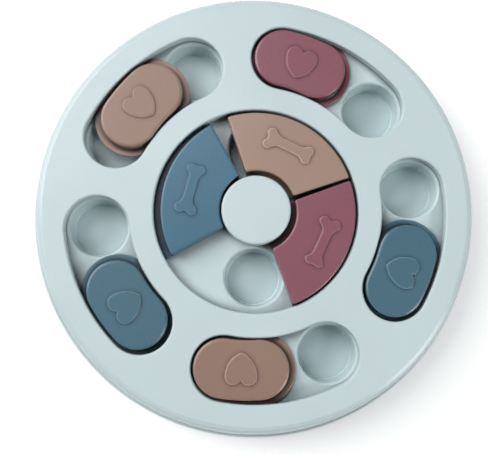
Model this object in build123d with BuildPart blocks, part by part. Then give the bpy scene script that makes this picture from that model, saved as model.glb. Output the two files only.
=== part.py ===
from build123d import *
from math import cos, radians, sin, sqrt, tan
import os

# Round puzzle feeder for dogs: a tray of treat cups under a slotted cover, with five heart
# sliders running in the slots, three bone sliders running round the middle, and a centre cap.
# Millimetres, +Z up. The origin is on the table, under the middle of the tray.

# ---- Heights, from the table up ------------------------------------------------------------
foot_stand = 2.0  # rubber foot showing under the rim
rim_height = 4.0  # outer lip that the cover's skirt stands on
tray_height = 18.0  # rim's lower edge to the deck that the sliders run on
channel_height = 2.8  # deck to the lower edge of the cover's lips
cover_rise = 8.3  # deck to the cover's face
slider_rise = 1.6  # slider tops above the cover's face
cap_rise = 2.9  # centre cap above the cover's face

# ---- Walls and clearances ------------------------------------------------------------------
tray_wall = 2.0
cover_wall = 2.4
skirt_wall = 2.0
lip_wall = 2.0
slider_wall = 1.8
cap_wall = 2.2
rib_width = 1.6
glide_gap = 0.2  # slider flange above the deck
nest_gap = 0.3  # tray wall inside the cover's skirt
thread_gap = 0.05  # screw shank in its pilot hole
screw_gap = 0.3  # screw shank in the tray's clearance hole
head_gap = 0.3  # screw head in its column
plug_gap = 0.05  # foot's plug in its column
slider_play = 1.55  # heart slider inside each side of its slot
sector_play = 2.3  # bone slider inside the ring it shows through
sector_flange_play = 2.1  # bone slider's flange inside the cover's rib
cap_play = 2.5  # bone slider outside the centre cap
hub_play = 2.6  # bone slider's flange outside the hub

# ---- Openings of the cover, from the middle outward ------------------------------------------
ring_radius = 56.2  # opening that the bone sliders show through
ring_land = 13.35  # face between that opening and the slots
slot_width = 35.3
cover_border = 14.65  # face outside the slots
slot_count = 5
first_slot_angle = 18.0
slot_half_swing = 18.8  # degrees from the slot's middle to the centre of its round end
slot_orbit = ring_radius + ring_land + slot_width / 2  # radius of the slots' centreline

# ---- Rim and cover -------------------------------------------------------------------------
cover_radius = slot_orbit + slot_width / 2 + cover_border  # to the corner before it is rounded
rim_ledge = 1.37  # rim that shows outside the cover's skirt
side_slope = 10.5  # degrees from upright
cover_rounding = 3.0
slot_bevel = 0.7
rim_bevel = 0.7

# ---- Treat cups under the openings ------------------------------------------------------------
cup_edge_gap = 1.45  # cup's mouth inside each side of its slot
inner_cup_edge_gap = 3.7  # inner cup's mouth inside the ring
cup_half_swing = 19.4  # degrees from the slot's middle to each of its two cups
inner_cup_count = 4
inner_cup_angle = 45.0
cup_mouth_radius = slot_width / 2 - cup_edge_gap
inner_cup_orbit = ring_radius - cup_mouth_radius - inner_cup_edge_gap
cup_depth = 13.0
cup_draft = 6.0  # degrees
cup_mouth_bevel = 0.9

# ---- Heart sliders -------------------------------------------------------------------------
slider_width = slot_width - 2 * slider_play
slider_half_swing = 6.45  # degrees from the slider's middle to the centre of its round end
slider_rounding = 1.2
flange_thickness = 2.2
flange_side_reach = 4.5  # beyond the top at each side, under the cover
flange_half_swing = 5.9
inner_rib_depth = 4.0
emboss_height = 1.0
emboss_bevel = 0.75
heart_lobe_radius = 4.6
heart_lobe_offset = 4.2  # lobe centres either side of the heart's middle line
heart_lobe_height = 3.5  # lobe centres outward of the slider's middle
heart_tip_depth = 9.6  # tip inward of the slider's middle, before it is rounded
heart_tip_rounding = 1.5
heart_notch_rounding = 0.4

# Each heart slider at rest: degrees round from the middle of its slot, millimetres that it has
# slipped outward, and degrees that it sits askew.
heart_slider_rest = [
    (12.2, -0.7, -3.0),
    (4.1, -0.7, 3.0),
    (11.3, -0.1, 0.0),
    (-12.6, -0.5, 3.0),
    (-11.9, -0.8, 0.8),
]

# ---- Bone sliders --------------------------------------------------------------------------
cap_radius = 19.0
ring_flange_reach = 4.6  # room for the flanges under the cover, out to its rib
sector_flange_reach = 4.5  # inner flange beyond the top, under the cap
sector_outer_radius = ring_radius - sector_play
sector_inner_radius = cap_radius + cap_play
sector_side_inset = 0.8  # each side, in from a true quarter of the ring
sector_corner = 1.2
sector_rounding = 0.8
ring_rib_radius = ring_radius + ring_flange_reach
sector_flange_outer = ring_rib_radius - sector_flange_play
sector_flange_inner = sector_inner_radius - sector_flange_reach
bone_inset = 15.2  # raised bone's middle, in from the slider's outer side
bone_orbit = sector_outer_radius - bone_inset
bone_length = 28.0
bone_shaft = 5.6
bone_shaft_shift = 0.5  # shaft and smaller end lie this far outward of the bigger end
bone_neck_rounding = 5.0
bone_notch_rounding = 0.7
big_lobe_radius = 2.9
big_lobe_spread = 3.35
big_notch_depth = 1.3
small_lobe_radius = 2.6
small_lobe_spread = 2.7
small_notch_depth = 0.4

# Each bone slider at rest: degrees that it faces round from +X, and millimetres that it has
# slipped outward and sideways.
bone_slider_rest = [(20.1, 0.5, -0.2), (120.6, -1.6, -1.0), (291.9, 1.1, -0.7)]

# ---- Centre cap and hub --------------------------------------------------------------------
cap_rounding = 1.2
cap_boss_radius = 7.0
cap_pilot_radius = 1.75
cap_pilot_depth = 5.4
cap_screw_head_radius = 3.8
cap_screw_head_height = 2.8
hub_radius = sector_flange_inner - hub_play
hub_boss_depth = 5.0

# ---- Feet and screws -----------------------------------------------------------------------
foot_count = 5
foot_angle = 54.0
foot_inset = 15.5  # foot's middle, in from the cover's edge
foot_orbit = cover_radius - foot_inset
foot_radius = 7.5
foot_plug_length = 3.5
column_bore = 4.4
column_wall = 2.0
boss_radius = 4.2
pilot_radius = 1.35
pilot_depth = 6.2
pilot_end_gap = 0.7  # from a screw's tip to the end of its pilot hole
screw_head_radius = 2.9
screw_head_height = 2.2
recess_width = 0.8
recess_depth = 1.2
under_rib_height = 7.0

# ---- Worked out from the above -------------------------------------------------------------
rim_bottom = foot_stand
ledge = rim_bottom + rim_height
deck = rim_bottom + tray_height
deck_under = deck - tray_wall
lip_level = deck + channel_height
cover_top = deck + cover_rise
cover_under = cover_top - cover_wall
slider_top = cover_top + slider_rise
cap_top = cover_top + cap_rise
cup_floor = deck - cup_depth
flange_under = deck + glide_gap
body_height = slider_top - flange_under
hub_under = lip_level - tray_wall
slope = tan(radians(side_slope))


def skirt_radius(level):
    """Outside of the cover's sloping side at a height."""
    return cover_radius + (cover_top - level) * slope


def cup_radius(level):
    """Inside of a cup's wall at a height."""
    return cup_mouth_radius - (deck - level) * tan(radians(cup_draft))


def seat_at(orbit, angle, askew=0.0, sideways=0.0):
    """Plane on the table at a radius and an angle, with its X axis pointing outward."""
    place, facing = radians(angle), radians(angle + askew)
    middle = (orbit * cos(place) - sideways * sin(place), orbit * sin(place) + sideways * cos(place), 0)
    return Plane(middle, (cos(facing), sin(facing), 0), (0, 0, 1))


def level_circles(part, level, radius):
    """Circular edges of one radius that lie at one height."""
    flat = part.edges().filter_by(GeomType.CIRCLE).filter_by_position(Axis.Z, level - 0.01, level + 0.01)
    return flat.filter_by(lambda edge: abs(edge.radius - radius) < 0.01)


def round_over(part, rounding):
    """Carries a part's top face up to a rounded edge, as two bevels."""
    extrude(part.faces().sort_by(Axis.Z)[-1], amount=0.7 * rounding, taper=22.5)
    extrude(part.faces().sort_by(Axis.Z)[-1], amount=0.3 * rounding, taper=67.5)


rim_radius = skirt_radius(ledge) + rim_ledge
wall_foot = skirt_radius(ledge) - skirt_wall - nest_gap
wall_top = skirt_radius(deck) - skirt_wall - nest_gap
web_start = ring_rib_radius + rib_width / 2
slot_angles = [first_slot_angle + number * 360 / slot_count for number in range(slot_count)]
slot_arcs = [
    CenterArc((0, 0), slot_orbit, angle - slot_half_swing, 2 * slot_half_swing) for angle in slot_angles
]
# Centrelines of a heart slider and its flange in the slider's own frame, where the tray's middle is at -X.
slider_arc = CenterArc((-slot_orbit, 0), slot_orbit, -slider_half_swing, 2 * slider_half_swing)
flange_arc = CenterArc((-slot_orbit, 0), slot_orbit, -flange_half_swing, 2 * flange_half_swing)
slider_length = slider_width + 2 * slot_orbit * sin(radians(slider_half_swing))
foot_angles = [foot_angle + number * 360 / foot_count for number in range(foot_count)]
foot_spots = PolarLocations(foot_orbit, foot_count, foot_angle).local_locations
cup_spots = (
    PolarLocations(slot_orbit, slot_count, first_slot_angle - cup_half_swing).local_locations
    + PolarLocations(slot_orbit, slot_count, first_slot_angle + cup_half_swing).local_locations
    + PolarLocations(inner_cup_orbit, inner_cup_count, inner_cup_angle).local_locations
)

# ---- Space inside one treat cup, with a bevel round its mouth ---------------------------------
with BuildPart() as cup_hollow:
    with BuildSketch(Plane.XZ):
        with BuildLine():
            Polyline(
                (0, deck),
                (cup_mouth_radius + cup_mouth_bevel, deck),
                (cup_radius(deck - cup_mouth_bevel), deck - cup_mouth_bevel),
                (cup_radius(cup_floor), cup_floor),
                (0, cup_floor),
                close=True,
            )
        make_face()
    revolve(axis=Axis.Z)

# ---- Treat cups: walls and floors that hang under the deck's holes -----------------------------
with BuildPart() as treat_cups:
    with BuildSketch(Plane.XY.offset(deck_under)):
        with Locations(*cup_spots):
            Circle(cup_mouth_radius + tray_wall)
    extrude(amount=-cup_depth)
    with Locations(*cup_spots):
        add(cup_hollow.part, mode=Mode.SUBTRACT)

# ---- Tray: deck, sloping wall and rim in one shell, with a hole in the deck over each cup ------
with BuildPart() as base_tray:
    with BuildSketch(Plane.XZ):
        with BuildLine():
            Polyline(
                (0, deck),
                (wall_top, deck),
                (wall_foot, ledge),
                (rim_radius, ledge),
                (rim_radius, rim_bottom),
                (rim_radius - tray_wall, rim_bottom),
                (rim_radius - tray_wall, ledge - tray_wall),
                (wall_foot - tray_wall, ledge - tray_wall),
                (wall_top - tray_wall, deck_under),
                (0, deck_under),
                close=True,
            )
        make_face()
    revolve(axis=Axis.Z)
    chamfer(level_circles(base_tray, ledge, rim_radius), rim_bevel)
    # Ribs under the deck: a ring between the two rows of cups, and a web through each foot column.
    with BuildSketch(Plane.XY.offset(deck_under)):
        Circle(ring_rib_radius + rib_width)
        Circle(ring_rib_radius, mode=Mode.SUBTRACT)
        with PolarLocations((web_start + wall_top) / 2, foot_count, foot_angle):
            Rectangle(wall_top - web_start, rib_width)
    extrude(amount=-under_rib_height)
    # The foot columns, and the hub with its screw boss.
    with BuildSketch(Plane.XY.offset(rim_bottom)):
        with Locations(*foot_spots):
            Circle(column_bore + column_wall)
    extrude(amount=deck_under - rim_bottom)
    with BuildSketch(Plane.XY.offset(deck)):
        Circle(hub_radius)
    extrude(amount=channel_height)
    with BuildSketch(Plane.XY.offset(deck_under)):
        Circle(hub_radius - tray_wall)
    extrude(amount=hub_under - deck_under, mode=Mode.SUBTRACT)
    with BuildSketch(Plane.XY.offset(hub_under)):
        Circle(cap_screw_head_radius + head_gap + lip_wall)
        Circle(cap_screw_head_radius + head_gap, mode=Mode.SUBTRACT)
    extrude(amount=-hub_boss_depth)
    # Hollows: the cups' mouths, the bored columns and the screw holes.
    with Locations(*cup_spots):
        add(cup_hollow.part, mode=Mode.SUBTRACT)
    with BuildSketch(Plane.XY.offset(rim_bottom)):
        with Locations(*foot_spots):
            Circle(column_bore)
    extrude(amount=deck_under - rim_bottom, mode=Mode.SUBTRACT)
    with BuildSketch(Plane.XY.offset(deck)):
        with Locations(*foot_spots):
            Circle(pilot_radius + screw_gap)
    extrude(amount=-tray_wall, mode=Mode.SUBTRACT)
    with BuildSketch(Plane.XY.offset(hub_under)):
        Circle(cap_pilot_radius + screw_gap)
    extrude(amount=tray_wall, mode=Mode.SUBTRACT)

# ---- Cover: face, rounded edge and sloping skirt in one shell, with lips round the openings --
with BuildPart() as top_cover:
    with BuildSketch(Plane.XZ):
        with BuildLine():
            Polyline(
                (0, cover_top),
                (cover_radius - cover_rounding, cover_top),
                (cover_radius - 0.3 * cover_rounding, cover_top - 0.3 * cover_rounding),
                (skirt_radius(cover_top - cover_rounding), cover_top - cover_rounding),
                (skirt_radius(ledge), ledge),
                (skirt_radius(ledge) - skirt_wall, ledge),
                (skirt_radius(cover_under) - skirt_wall, cover_under),
                (0, cover_under),
                close=True,
            )
        make_face()
    revolve(axis=Axis.Z)
    with BuildSketch(Plane.XY.offset(lip_level)):
        Circle(ring_radius + lip_wall)
        for arc in slot_arcs:
            SlotArc(arc, slot_width + 2 * lip_wall)
    extrude(amount=cover_under - lip_level)
    with BuildSketch(Plane.XY.offset(deck)):
        Circle(ring_rib_radius + rib_width)
        Circle(ring_rib_radius, mode=Mode.SUBTRACT)
        with Locations(*foot_spots):
            Circle(boss_radius)
    extrude(amount=cover_under - deck)
    with BuildSketch(Plane.XY.offset(lip_level)):
        Circle(ring_radius)
        for arc in slot_arcs:
            SlotArc(arc, slot_width)
    extrude(amount=cover_top - lip_level, mode=Mode.SUBTRACT)
    with BuildSketch(Plane.XY.offset(deck)):
        with Locations(*foot_spots):
            Circle(pilot_radius)
    extrude(amount=pilot_depth, mode=Mode.SUBTRACT)
    cover_face = top_cover.faces().filter_by(Axis.Z).sort_by(Axis.Z)[-1]
    chamfer(cover_face.inner_wires().edges(), slot_bevel)


def heart_slider(seat):
    """Hollow slider, curved like its slot, with a flange all round under the cover and a heart on top."""
    with BuildPart() as slider:
        with BuildSketch(seat.offset(flange_under)):
            SlotArc(slider_arc, slider_width)
        extrude(amount=body_height - slider_rounding)
        round_over(slider, slider_rounding)
        with BuildSketch(seat.offset(flange_under)):
            SlotArc(flange_arc, slider_width + 2 * flange_side_reach)
        extrude(amount=flange_thickness)
        with BuildSketch(seat.offset(flange_under)):
            SlotArc(slider_arc, slider_width - 2 * slider_wall)
        extrude(amount=body_height - slider_wall, mode=Mode.SUBTRACT)
        with BuildSketch(seat.offset(slider_top - slider_wall)):
            Rectangle(slider_width - slider_wall, rib_width)
            Rectangle(rib_width, slider_length - slider_wall)
        extrude(amount=-inner_rib_depth)
        with BuildSketch(seat.offset(slider_top)) as heart:
            with BuildLine():
                lobe = ThreePointArc(heart_notch, heart_lobe_top, heart_lobe_side)
                TangentArc(lobe @ 1, (-heart_tip_depth, 0), tangent=lobe % 1)
                mirror(about=Plane.XZ)
            make_face()
            fillet(heart.vertices().sort_by(Axis.X)[0], heart_tip_rounding)
            fillet(heart.vertices().sort_by_distance((0, 0))[0], heart_notch_rounding)
        extrude(amount=emboss_height)
        chamfer(slider.edges().group_by(Axis.Z)[-1], emboss_bevel)
    return slider


def quarter_ring(outer, inner):
    """Sketch outline of a quarter of a ring about +X, with its two straight sides drawn in."""
    side_start = sector_side_inset * sqrt(2)
    Circle(outer)
    Circle(inner, mode=Mode.SUBTRACT)
    corners = [(side_start, 0), (side_start + outer, -outer), (side_start + outer, outer)]
    Polygon(corners, align=None, mode=Mode.INTERSECT)


def bone_slider(seat):
    """Hollow slider, a quarter of a ring, with flanges on its two round sides and a bone on top."""
    with BuildPart() as slider:
        with BuildSketch(seat.offset(flange_under)) as outline:
            quarter_ring(sector_outer_radius, sector_inner_radius)
            fillet(outline.vertices(), sector_corner)
        extrude(amount=body_height - sector_rounding)
        round_over(slider, sector_rounding)
        with BuildSketch(seat.offset(flange_under)):
            quarter_ring(sector_flange_outer, sector_flange_inner)
        extrude(amount=flange_thickness)
        with BuildSketch(seat.offset(flange_under)) as outline:
            quarter_ring(sector_outer_radius, sector_inner_radius)
            offset(amount=-slider_wall)
        extrude(amount=body_height - slider_wall, mode=Mode.SUBTRACT)
        with BuildSketch(seat.offset(slider_top)) as bone:
            with Locations((bone_orbit + bone_shaft_shift, (small_notch_depth - big_notch_depth) / 2)):
                Rectangle(bone_shaft, bone_length - big_notch_depth - small_notch_depth)
            with Locations((bone_orbit, bone_length / 2 - big_lobe_radius)):
                with GridLocations(2 * big_lobe_spread, 1, 2, 1):
                    Circle(big_lobe_radius)
            with Locations((bone_orbit + bone_shaft_shift, small_lobe_radius - bone_length / 2)):
                with GridLocations(2 * small_lobe_spread, 1, 2, 1):
                    Circle(small_lobe_radius)
            fillet(bone.vertices().sort_by_distance((bone_orbit, 0))[:4], bone_neck_rounding)
            fillet(bone.vertices().sort_by_distance((bone_orbit, 0))[-4:], bone_notch_rounding)
        extrude(amount=emboss_height)
        chamfer(slider.edges().group_by(Axis.Z)[-1], emboss_bevel)
    return slider


def screw(seat, head_bottom, head_radius, head_height, shank_radius, tip):
    """Round-headed screw standing on its head, with a cross recess in the head."""
    with BuildPart() as part:
        with BuildSketch(seat.offset(head_bottom)):
            Circle(head_radius)
        extrude(amount=head_height)
        with BuildSketch(seat.offset(head_bottom)):
            Rectangle(1.2 * head_radius, recess_width)
            Rectangle(recess_width, 1.2 * head_radius)
        extrude(amount=recess_depth, mode=Mode.SUBTRACT)
        with BuildSketch(seat.offset(head_bottom + head_height)):
            Circle(shank_radius)
        extrude(amount=tip - head_bottom - head_height)
    return part


# ---- The heart: a lobe each side of its notch, narrowing to a tip that points inward ---------
heart_notch = (heart_lobe_height + sqrt(heart_lobe_radius**2 - heart_lobe_offset**2), 0)
heart_lobe_top = (heart_lobe_height + heart_lobe_radius, heart_lobe_offset)
heart_lobe_side = (heart_lobe_height, heart_lobe_offset + heart_lobe_radius)

heart_sliders = [
    heart_slider(seat_at(slot_orbit + slipped, slot_angle + swing, askew))
    for slot_angle, (swing, slipped, askew) in zip(slot_angles, heart_slider_rest)
]
bone_sliders = [
    bone_slider(seat_at(outward, angle, sideways=sideways)) for angle, outward, sideways in bone_slider_rest
]

# ---- Centre cap: a round plate on a boss, with its skirt over the bone sliders' inner flanges --
with BuildPart() as centre_cap:
    with BuildSketch(Plane.XY.offset(lip_level)):
        Circle(cap_radius)
    extrude(amount=cap_top - lip_level - cap_rounding)
    round_over(centre_cap, cap_rounding)
    with BuildSketch(Plane.XY.offset(lip_level)):
        Circle(cap_radius - cap_wall)
        Circle(cap_boss_radius, mode=Mode.SUBTRACT)
    extrude(amount=cap_top - lip_level - cap_wall, mode=Mode.SUBTRACT)
    with BuildSketch(Plane.XY.offset(lip_level)):
        Circle(cap_pilot_radius)
    extrude(amount=cap_pilot_depth, mode=Mode.SUBTRACT)

# ---- Screws: one in the hub, five up the foot columns into the cover's bosses ----------------
hub_screw_tip = lip_level + cap_pilot_depth - pilot_end_gap
centre_screw = screw(
    Plane.XY,
    hub_under - cap_screw_head_height,
    cap_screw_head_radius,
    cap_screw_head_height,
    cap_pilot_radius - thread_gap,
    hub_screw_tip,
)
cover_screw_tip = deck + pilot_depth - pilot_end_gap
column_screws = [
    screw(
        seat_at(foot_orbit, angle),
        deck_under - screw_head_height,
        screw_head_radius,
        screw_head_height,
        pilot_radius - thread_gap,
        cover_screw_tip,
    )
    for angle in foot_angles
]
with BuildPart() as cover_screws:
    add([one.part for one in column_screws])

# ---- Rubber feet: a pad under each foot column, with a plug that goes up its bore -------------
feet = []
for angle in foot_angles:
    with BuildPart() as foot:
        with BuildSketch(seat_at(foot_orbit, angle)):
            Circle(foot_radius)
        extrude(amount=foot_stand)
        with BuildSketch(seat_at(foot_orbit, angle).offset(foot_stand)):
            Circle(column_bore - plug_gap)
        extrude(amount=foot_plug_length)
    feet.append(foot)

base_tray.part.label = "base_tray"
treat_cups.part.label = "treat_cups"
top_cover.part.label = "top_cover"
centre_cap.part.label = "centre_cap"
centre_screw.part.label = "centre_screw"
cover_screws.part.label = "cover_screws"
for number, slider in enumerate(heart_sliders, start=1):
    slider.part.label = f"heart_slider_{number}"
for number, slider in enumerate(bone_sliders, start=1):
    slider.part.label = f"bone_slider_{number}"
for number, foot in enumerate(feet, start=1):
    foot.part.label = f"foot_{number}"

os.makedirs("parts", exist_ok=True)
shells = [base_tray, treat_cups, top_cover, centre_cap]
for piece in [*shells, centre_screw, cover_screws, *heart_sliders, *bone_sliders, *feet]:
    export_step(piece.part, f"parts/{piece.part.label}.step")
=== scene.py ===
# %% [markdown]
# # Dressing a dog's puzzle feeder
#
# The object is a round toy of moulded plastic: a tray of treat cups, a slotted cover over it, and
# coloured sliders that a dog pushes round with its nose. Its solids were made in CAD, and every
# form that shows is one of them, so nothing is modelled here. In this lesson they get their
# plastics, their light and their camera.

import bpy
from mathutils import Matrix, Vector

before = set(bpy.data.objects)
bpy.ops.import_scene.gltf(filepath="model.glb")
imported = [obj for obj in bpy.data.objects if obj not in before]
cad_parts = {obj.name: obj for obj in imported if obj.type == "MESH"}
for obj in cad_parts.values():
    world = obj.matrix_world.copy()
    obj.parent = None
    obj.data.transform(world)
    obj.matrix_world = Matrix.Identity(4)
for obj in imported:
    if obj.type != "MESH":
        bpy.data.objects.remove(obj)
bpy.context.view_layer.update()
print("solids:", sorted(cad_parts))

# %% [markdown]
# ## The camera
#
# A product shot of a flat toy is taken from nearly overhead, so that every cup is seen. The lens
# is a normal one, about 60 mm on a full-frame sensor, held half a metre above the table. A camera
# can be aimed by three angles, but two directions are easier to picture: where the picture's
# right-hand side and its top lie. A small shift slides the frame over the toy without a tilt.

# %% Camera
camera_place = Vector((-0.050218, -0.030110, 0.477292))
picture_right = Vector((0.727831, -0.684914, 0.033980))
picture_up = Vector((0.678697, 0.726545, 0.107252))

lens = bpy.data.cameras.new("camera")
lens.lens = 61.013
lens.sensor_width = 36.0
lens.shift_x = -0.02221
lens.shift_y = -0.00496
camera = bpy.data.objects.new("camera", lens)
turn = Matrix((picture_right, picture_up, picture_right.cross(picture_up))).transposed()
camera.matrix_world = Matrix.Translation(camera_place) @ turn.to_4x4()
bpy.context.collection.objects.link(camera)
bpy.context.scene.camera = camera
print("camera stands", round(camera_place.z, 3), "m above the table")

# %% [markdown]
# ## Colours and nodes
#
# Screen colours are written as hex values, but a renderer adds up light, so each one is turned to
# linear light first. Every material below is put together from nodes, and one small function adds
# a node, sets it and wires it. Noise textures count their patches to the metre, so a patch's real
# size in millimetres gives the scale.


# %% Colour, node and scale helpers
def linear(colour):
    """An sRGB hex colour as linear red, green, blue and alpha, by the curve that sRGB sets."""
    values = [int(colour[place : place + 2], 16) / 255 for place in (1, 3, 5)]
    return [v / 12.92 if v <= 0.04045 else ((v + 0.055) / 1.055) ** 2.4 for v in values] + [1.0]


def add_node(tree, kind, settings=None, **inputs):
    """
    Adds a node, sets its own settings, and gives each input a value or a link. An input is written
    by its name, as From_Min, or by its number, as _0.
    """
    node = tree.nodes.new(kind)
    for name, value in (settings or {}).items():
        setattr(node, name, value)
    for name, value in inputs.items():
        key = int(name[1:]) if name[0] == "_" else name.replace("_", " ")
        if isinstance(value, bpy.types.NodeSocket):
            tree.links.new(value, node.inputs[key])
        else:
            node.inputs[key].default_value = value
    return node


mm_per_metre = 1000.0


def noise_scale(patch_mm):
    """The Scale of a noise texture whose patches are patch_mm across."""
    return mm_per_metre / patch_mm


print("cover colour in linear light:", [round(v, 3) for v in linear("#cddee1")])

# %% [markdown]
# ## Rounded edges and raised marks
#
# A mould's sharp corners come out with a small radius. A Bevel modifier could cut it into each
# mesh, but the solids keep the shape that CAD gave them, and a Bevel node rounds only the normals,
# which is enough to catch the light. The hearts and bones stand just 1 mm above the sliders, so
# the radius of the outer edges would melt their slopes away. They get a narrow one.

# %% Rounded edges
# Metres above the table: the flat tops of the sliders, and where a mark on them is sure to begin.
slider_top = 0.0299
mark_start = slider_top + 0.00003
mark_edge_mm = 0.15


def raised_marks(tree, place):
    """A mask that is 1 on the hearts and bones that stand up from the sliders."""
    height = add_node(tree, "ShaderNodeSeparateXYZ", Vector=place).outputs["Z"]
    above = add_node(
        tree, "ShaderNodeMath", {"operation": "GREATER_THAN"}, _0=height, _1=mark_start
    )
    return above.outputs[0]


def rounded_normal(tree, raised, edge_mm):
    """Normals that turn smoothly round corners of radius edge_mm, and more tightly on marks."""
    wide = add_node(tree, "ShaderNodeBevel", {"samples": 6}, Radius=edge_mm / mm_per_metre)
    narrow = add_node(tree, "ShaderNodeBevel", {"samples": 4}, Radius=mark_edge_mm / mm_per_metre)
    mixed = add_node(
        tree,
        "ShaderNodeMix",
        {"data_type": "VECTOR"},
        _0=raised,
        _4=wide.outputs[0],
        _5=narrow.outputs[0],
    )
    return mixed.outputs[1]


print("marks begin", mark_start, "m above the table")

# %% [markdown]
# ## Painted highlights and painted shade
#
# The edges of the plastic and the slopes of its marks get a painted highlight, which makes their
# colour lighter, and handling polishes them, so they shine more. Places that walls shut in get
# painted shade: the foot of a mark, a gap, the bottom of a cup. Both could be painted by hand on
# each piece, but two masks from nodes find such places by themselves, also after a slider has
# moved.

# %% Edges with painted highlight
# How well the rounded normal matches the flat one, as a cosine: at an edge, and beside it.
match_at_edge, match_beside = 0.88, 0.985
# A face whose normal points up by less than this is a slope.
upright_enough = 0.9


def highlit_and_polished_places(tree, rounded, raised):
    """Two masks: the edges and the slopes of marks, which get a painted highlight and polish, and
    those slopes alone.
    """
    flat = add_node(tree, "ShaderNodeNewGeometry").outputs["Normal"]
    match = add_node(
        tree, "ShaderNodeVectorMath", {"operation": "DOT_PRODUCT"}, _0=rounded, _1=flat
    )
    corner = add_node(
        tree,
        "ShaderNodeMapRange",
        Value=match.outputs["Value"],
        From_Min=match_at_edge,
        From_Max=match_beside,
        To_Min=1.0,
        To_Max=0.0,
    ).outputs["Result"]
    facing = add_node(tree, "ShaderNodeSeparateXYZ", Vector=flat).outputs["Z"]
    steep = add_node(
        tree, "ShaderNodeMath", {"operation": "LESS_THAN"}, _0=facing, _1=upright_enough
    ).outputs[0]
    slope = add_node(
        tree, "ShaderNodeMath", {"operation": "MULTIPLY"}, _0=steep, _1=raised
    ).outputs[0]
    edge = add_node(tree, "ShaderNodeMath", {"operation": "MAXIMUM"}, _0=corner, _1=slope)
    return edge.outputs[0], slope


print("an edge is full at a match of", match_at_edge, "and gone at", match_beside)

# %% Painted shade in shut-in places
# From a place that counts as open to the bottom of a gap, the openness falls by this, and over it
# the painted shade deepens.
shade_fade = 0.25


def painted_shade_share(tree, reach_mm, open_at, crevice):
    """
    The share of the colour that painted shade leaves. Walls within reach_mm shut in a place: one
    that is open_at or more has the full colour, and the bottom of a narrow gap the share crevice.
    """
    shut_in = add_node(
        tree, "ShaderNodeAmbientOcclusion", {"samples": 8}, Distance=reach_mm / mm_per_metre
    )
    return add_node(
        tree,
        "ShaderNodeMapRange",
        Value=shut_in.outputs["AO"],
        From_Min=open_at - shade_fade,
        From_Max=open_at,
        To_Min=crevice,
        To_Max=1.0,
    ).outputs["Result"]


# The painted shade fades in over this much openness.
print("dust fades over", shade_fade, "of openness")

# %% [markdown]
# ## Moulded ABS
#
# The tray, cover, cap and sliders are injection-moulded ABS. Its surface copies the steel mould:
# a fine spark-eroded grain that takes the gloss down, with slow waves where the plastic shrank
# over ribs and bosses. Pictures of the surface could be wrapped round each piece, but noise in
# nodes needs no unwrapping and keeps its real size everywhere. Colour, gloss and relief draw on
# the same two noises and two masks, so that they agree.

# %% Colour of the plastic
# The values of a noise texture that lie between these are stretched over its whole effect.
noise_low, noise_high = 0.3, 0.7
# The pigment is a touch uneven: its darkest and its lightest share.
pigment_dark, pigment_light = 0.975, 1.02


def plastic_colour(tree, colour, sink, edge, painted_highlight, share_after_shade):
    """The pigment, with edges lighter by a painted highlight and shut-in places darker by painted
    shade.
    """
    shade = add_node(
        tree,
        "ShaderNodeMapRange",
        Value=sink,
        From_Min=noise_low,
        From_Max=noise_high,
        To_Min=pigment_dark,
        To_Max=pigment_light,
    ).outputs["Result"]
    lit = add_node(
        tree, "ShaderNodeMath", {"operation": "MULTIPLY_ADD"}, _0=edge, _1=painted_highlight, _2=shade
    ).outputs[0]
    value = add_node(
        tree, "ShaderNodeMath", {"operation": "MULTIPLY"}, _0=lit, _1=share_after_shade
    ).outputs[0]
    tint = {"data_type": "RGBA", "blend_type": "MULTIPLY"}
    tinted = add_node(tree, "ShaderNodeMix", tint, _0=1.0, _6=linear(colour), _7=value)
    return tinted.outputs[2]


print("pigment goes from", pigment_dark, "to", pigment_light)

# %% Gloss and relief of the plastic
# The grain scatters the roughness this much either way, and rubbing takes this much off it.
grain_scatter, rubbed_polish = 0.04, 0.08


def plastic_gloss(tree, roughness, grain, edge):
    """The roughness: the grain scatters it, and rubbed edges are polished."""
    gloss = add_node(
        tree,
        "ShaderNodeMapRange",
        Value=grain,
        From_Min=noise_low,
        From_Max=noise_high,
        To_Min=roughness - grain_scatter,
        To_Max=roughness + grain_scatter,
    ).outputs["Result"]
    polish = {"operation": "MULTIPLY_ADD"}
    polished = add_node(tree, "ShaderNodeMath", polish, _0=edge, _1=-rubbed_polish, _2=gloss)
    return polished.outputs[0]


def plastic_relief(tree, sink, grain, rounded):
    """The normals, with slow waves and fine grain on top of the rounded edges."""
    waves = add_node(
        tree, "ShaderNodeBump", Strength=0.15, Distance=0.0004, Height=sink, Normal=rounded
    ).outputs["Normal"]
    relief = add_node(
        tree, "ShaderNodeBump", Strength=0.12, Distance=0.00008, Height=grain, Normal=waves
    )
    return relief.outputs["Normal"]


print("grain scatters the roughness by", grain_scatter, "and rubbing takes off", rubbed_polish)

# %% The whole plastic
# Slow waves of the surface are as long as the space between ribs.
rib_gap_mm = 36.0
# Spark-eroded grain is drawn coarser than the real 0.1 mm so that it shows.
spark_grain_mm = 0.35
abs_ior = 1.53


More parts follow.
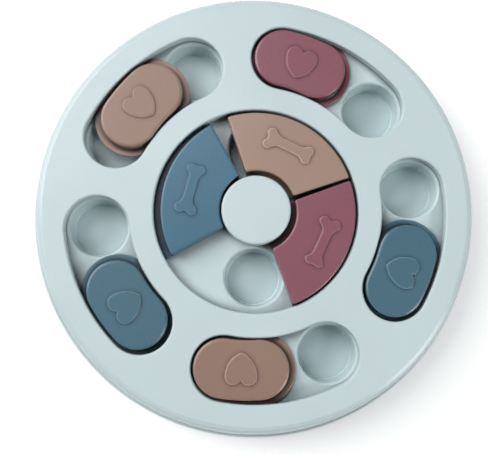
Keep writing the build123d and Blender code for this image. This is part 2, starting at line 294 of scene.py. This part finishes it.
def moulded_abs(name, colour, roughness, edge_mm, painted_highlight, reach_mm, open_at, crevice):
    """ABS from a grained mould. The cells above say what the values after the roughness do."""
    material = bpy.data.materials.new(name)
    material.use_nodes = True
    tree = material.node_tree
    shader = tree.nodes["Principled BSDF"]
    place = add_node(tree, "ShaderNodeTexCoord").outputs["Object"]
    raised = raised_marks(tree, place)
    rounded = rounded_normal(tree, raised, edge_mm)
    sink = add_node(
        tree, "ShaderNodeTexNoise", Vector=place, Scale=noise_scale(rib_gap_mm), Detail=2.0
    ).outputs["Fac"]
    grain = add_node(
        tree, "ShaderNodeTexNoise", Vector=place, Scale=noise_scale(spark_grain_mm), Detail=3.0
    ).outputs["Fac"]
    edge, slope = highlit_and_polished_places(tree, rounded, raised)
    painted_shade = painted_shade_share(tree, reach_mm, open_at, crevice)
    # No painted shade falls on a mark's slopes, however near the slider's top is.
    share_after_shade = add_node(
        tree, "ShaderNodeMath", {"operation": "MAXIMUM"}, _0=painted_shade, _1=slope
    ).outputs[0]
    # The base colour carries a painted highlight on edges and painted shade in shut-in places.
    base = plastic_colour(tree, colour, sink, edge, painted_highlight, share_after_shade)
    tree.links.new(base, shader.inputs["Base Color"])
    tree.links.new(plastic_gloss(tree, roughness, grain, edge), shader.inputs["Roughness"])
    tree.links.new(plastic_relief(tree, sink, grain, rounded), shader.inputs["Normal"])
    shader.inputs["IOR"].default_value = abs_ior
    return material


print("waves:", round(noise_scale(rib_gap_mm), 1), "to the metre")

# %% [markdown]
# ## Cover, cap, tray and cups
#
# These four are one pale blue, and one material could do for all. But each is seen in its own way,
# so each gets its own. The cover's broad face is glossy and open, and its painted shade darkens it
# only close to its slots. The cap has a duller face, from a mould with a rougher grain. The tray
# and its cups lie deep, so the walls that shut them in are counted from farther away for their
# painted shade, and their rims, polished by noses and paws, shine more and carry a painted
# highlight.


# %% Cover and cap
def dress(node, material):
    """Gives a CAD node one material."""
    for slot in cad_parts[node].material_slots:
        slot.material = material
    print(node, "is", material.name)


shell = moulded_abs(
    "abs_shell_pale_blue",
    "#cddee1",
    roughness=0.26,
    edge_mm=0.9,
    painted_highlight=0.14,
    reach_mm=2.5,
    open_at=0.95,
    crevice=0.75,
)
cap = moulded_abs(
    "abs_cap_pale_blue",
    "#cddee1",
    roughness=0.4,
    edge_mm=0.4,
    painted_highlight=0.0,
    reach_mm=4.0,
    open_at=1.0,
    crevice=0.3,
)
dress("top_cover", shell)
dress("centre_cap", cap)

# %% Tray and cups
tray = moulded_abs(
    "abs_tray_pale_blue",
    "#cddee1",
    roughness=0.24,
    edge_mm=0.9,
    painted_highlight=0.4,
    reach_mm=14.0,
    open_at=0.7,
    crevice=0.6,
)
# The cups' colour is a touch darker than the cover's: painted shade for their depth.
cups = moulded_abs(
    "abs_cups_pale_blue",
    "#c7d8db",
    roughness=0.22,
    edge_mm=0.8,
    painted_highlight=0.6,
    reach_mm=14.0,
    open_at=0.45,
    crevice=0.25,
)
dress("base_tray", tray)
dress("treat_cups", cups)

# %% [markdown]
# ## Sliders
#
# The heart and bone sliders share one mould finish, but come from two batches of plastic, whose tan
# and blue are a shade apart. Each slider could have its own material, but a table of colours is
# shorter, and keeps alike what is alike on the toy.

# %% Sliders
# The sliders' edges and mark slopes get a painted highlight, and their gaps and the feet of marks
# painted shade.
slider_finish = {
    "roughness": 0.25,
    "edge_mm": 0.9,
    "painted_highlight": 0.45,
    "reach_mm": 3.0,
    "open_at": 0.98,
    "crevice": 0.25,
}
heart_batch = {"tan": "#9b7f72", "blue": "#527383", "mauve": "#8f5d69"}
bone_batch = {"tan": "#a98e80", "blue": "#4d768c", "mauve": "#8f5d69"}
heart_plastics = {
    shade: moulded_abs(f"abs_heart_{shade}", colour, **slider_finish)
    for shade, colour in heart_batch.items()
}
bone_plastics = {
    shade: moulded_abs(f"abs_bone_{shade}", colour, **slider_finish)
    for shade, colour in bone_batch.items()
}
for number, shade in enumerate(["mauve", "tan", "blue", "tan", "blue"], start=1):
    dress(f"heart_slider_{number}", heart_plastics[shade])
for number, shade in enumerate(["tan", "blue", "mauve"], start=1):
    dress(f"bone_slider_{number}", bone_plastics[shade])

# %% [markdown]
# ## Rubber and steel
#
# The feet are soft grey thermoplastic rubber, matt and a little dusty. The screws are zinc-plated
# steel, which shines but is scuffed by the driver. Both are small and sit out of sight, so one
# even colour with a rough grain says enough, and one function makes both.

# %% Rubber feet and steel screws
# Scuffs and dust change the roughness this much either way.
scuffing = 0.08


def plain_finish(name, colour, roughness, metallic, grain_mm):
    """A finish with an even colour and a fine random roughness."""
    material = bpy.data.materials.new(name)
    material.use_nodes = True
    tree = material.node_tree
    shader = tree.nodes["Principled BSDF"]
    place = add_node(tree, "ShaderNodeTexCoord").outputs["Object"]
    grain = add_node(
        tree, "ShaderNodeTexNoise", Vector=place, Scale=noise_scale(grain_mm), Detail=4.0
    ).outputs["Fac"]
    gloss = add_node(
        tree,
        "ShaderNodeMapRange",
        Value=grain,
        From_Min=noise_low,
        From_Max=noise_high,
        To_Min=roughness - scuffing,
        To_Max=roughness + scuffing,
    )
    tree.links.new(gloss.outputs["Result"], shader.inputs["Roughness"])
    relief = add_node(tree, "ShaderNodeBump", Strength=0.2, Distance=0.0001, Height=grain)
    tree.links.new(relief.outputs["Normal"], shader.inputs["Normal"])
    shader.inputs["Base Color"].default_value = linear(colour)
    shader.inputs["Metallic"].default_value = metallic
    return material


rubber = plain_finish("rubber_foot_grey", "#8d9698", roughness=0.75, metallic=0.0, grain_mm=0.6)
steel = plain_finish("steel_zinc_plated", "#c4c6c8", roughness=0.32, metallic=1.0, grain_mm=0.25)
for number in range(1, 6):
    dress(f"foot_{number}", rubber)
dress("centre_screw", steel)
dress("cover_screws", steel)

# %% [markdown]
# ## The table
#
# The toy lies on a white table. More light would wash the toy out before the table turned white,
# so the table has a little glow instead, which only the camera and reflections see. It lifts the
# table to the pure white of a catalogue picture, and is stronger away from the toy, where no
# shadow has to show. To the lamps the table is an ordinary pale surface, so the toy still gets its
# soft reflected light and leaves its shadow.


# %% Table
def seen_directly(tree):
    """A value that is 1 for rays from the camera, and for mirrored ones and ones let through."""
    ray = add_node(tree, "ShaderNodeLightPath").outputs
    either = {"operation": "MAXIMUM"}
    mirrored = add_node(
        tree, "ShaderNodeMath", either, _0=ray["Is Glossy Ray"], _1=ray["Is Transmission Ray"]
    ).outputs[0]
    direct = add_node(tree, "ShaderNodeMath", either, _0=ray["Is Camera Ray"], _1=mirrored)
    return direct.outputs[0]


bpy.ops.object.select_all(action="DESELECT")
bpy.ops.mesh.primitive_plane_add(size=3.0, location=(0, 0, 0))
table = bpy.context.object
table.name = "table"
paper = bpy.data.materials.new("paper_white_table")
paper.use_nodes = True
table.data.materials.append(paper)
print("table is", [round(side, 2) for side in table.dimensions], "m")

# %% Glow of the table
# The glow has its least strength up to shadow_end metres from the toy's middle, and grows to full
# strength, which is white, at white_from.
least_glow, shadow_end, white_from = 0.35, 0.3, 0.8
tree = paper.node_tree
matt = tree.nodes["Principled BSDF"]
matt.inputs["Base Color"].default_value = linear("#e4e6e6")
matt.inputs["Roughness"].default_value = 0.9
spot = add_node(tree, "ShaderNodeTexCoord").outputs["Object"]
away = add_node(tree, "ShaderNodeVectorMath", {"operation": "LENGTH"}, _0=spot).outputs["Value"]
strength = add_node(
    tree,
    "ShaderNodeMapRange",
    Value=away,
    From_Min=shadow_end,
    From_Max=white_from,
    To_Min=least_glow,
    To_Max=1.0,
).outputs["Result"]
lift = add_node(
    tree, "ShaderNodeMath", {"operation": "MULTIPLY"}, _0=seen_directly(tree), _1=strength
)
glow = add_node(tree, "ShaderNodeEmission", Color=linear("#ffffff"), Strength=lift.outputs[0])
both = add_node(tree, "ShaderNodeAddShader", _0=matt.outputs[0], _1=glow.outputs[0])
tree.links.new(both.outputs[0], tree.nodes["Material Output"].inputs["Surface"])
print("table gets", len(tree.nodes), "nodes")

# %% [markdown]
# ## The lamps
#
# Cups, edges and reliefs show their depth when the light comes from one side, so the main lamp
# stands low on the left. It is a wide softbox, because a small lamp would cut hard shadows. A
# smaller one at the lower right lights the far edges, and one overhead fills the rest. Their places
# could be typed as x and y, but they are easier to move when they are said from the picture: so far
# right, so far up, and so high.


# %% Lamps
def in_picture(right, up, height):
    """A point given by metres right and up in the picture, and metres above the table."""
    flat_right = Vector((picture_right.x, picture_right.y, 0)).normalized()
    flat_up = Vector((picture_up.x, picture_up.y, 0)).normalized()
    return flat_right * right + flat_up * up + Vector((0, 0, height))


def softbox(name, place, side, power):
    """A square lamp of side metres and power watts at a place, turned to face the toy."""
    lamp = bpy.data.lights.new(name, "AREA")
    lamp.shape = "SQUARE"
    lamp.size = side
    lamp.energy = power
    holder = bpy.data.objects.new(name, lamp)
    holder.location = place
    holder.rotation_euler = (-place).to_track_quat("-Z", "Y").to_euler()
    bpy.context.collection.objects.link(holder)
    print(name, "stands at", [round(v, 2) for v in place])


softbox("softbox_left", in_picture(-1.5, 0.9, 1.8), side=1.9, power=60.0)
softbox("softbox_lower_right", in_picture(1.4, -0.95, 1.4), side=0.8, power=20.0)
softbox("softbox_top", in_picture(-0.4, 0.8, 2.6), side=1.0, power=5.0)

# %% [markdown]
# ## The studio
#
# The studio's walls are white to the camera and to reflections, but overhead it is dark, so that
# flat tops mirror nothing and keep their colour. A faint white sky gives the toy a little light
# from all round. Real walls could stand there, but a world that depends on the direction of view
# does the same and never gets in a lamp's way.

# %% Studio
# The direction's Z is 0 at the horizon and 1 overhead: where the wall begins to fade and is gone.
wall_fades, wall_gone = 0.25, 0.45
faint_sky = 0.05
world = bpy.data.worlds.new("studio")
world.use_nodes = True
bpy.context.scene.world = world
tree = world.node_tree
sky = tree.nodes["Background"]
sky.inputs["Color"].default_value = linear("#ffffff")
direction = add_node(tree, "ShaderNodeTexCoord").outputs["Generated"]
rise = add_node(tree, "ShaderNodeSeparateXYZ", Vector=direction).outputs["Z"]
wall = add_node(
    tree,
    "ShaderNodeMapRange",
    Value=rise,
    From_Min=wall_fades,
    From_Max=wall_gone,
    To_Min=1.0,
    To_Max=0.0,
).outputs["Result"]
wall_seen = add_node(
    tree, "ShaderNodeMath", {"operation": "MULTIPLY"}, _0=wall, _1=seen_directly(tree)
).outputs[0]
brightness = add_node(
    tree, "ShaderNodeMath", {"operation": "MAXIMUM"}, _0=wall_seen, _1=faint_sky
)
tree.links.new(brightness.outputs[0], sky.inputs["Strength"])
print("world gets", len(tree.nodes), "nodes")

# %% [markdown]
# ## Finish
#
# The view transform is Standard, so colours come out as they were written.

# %% Finish
bpy.context.scene.view_settings.view_transform = "Standard"
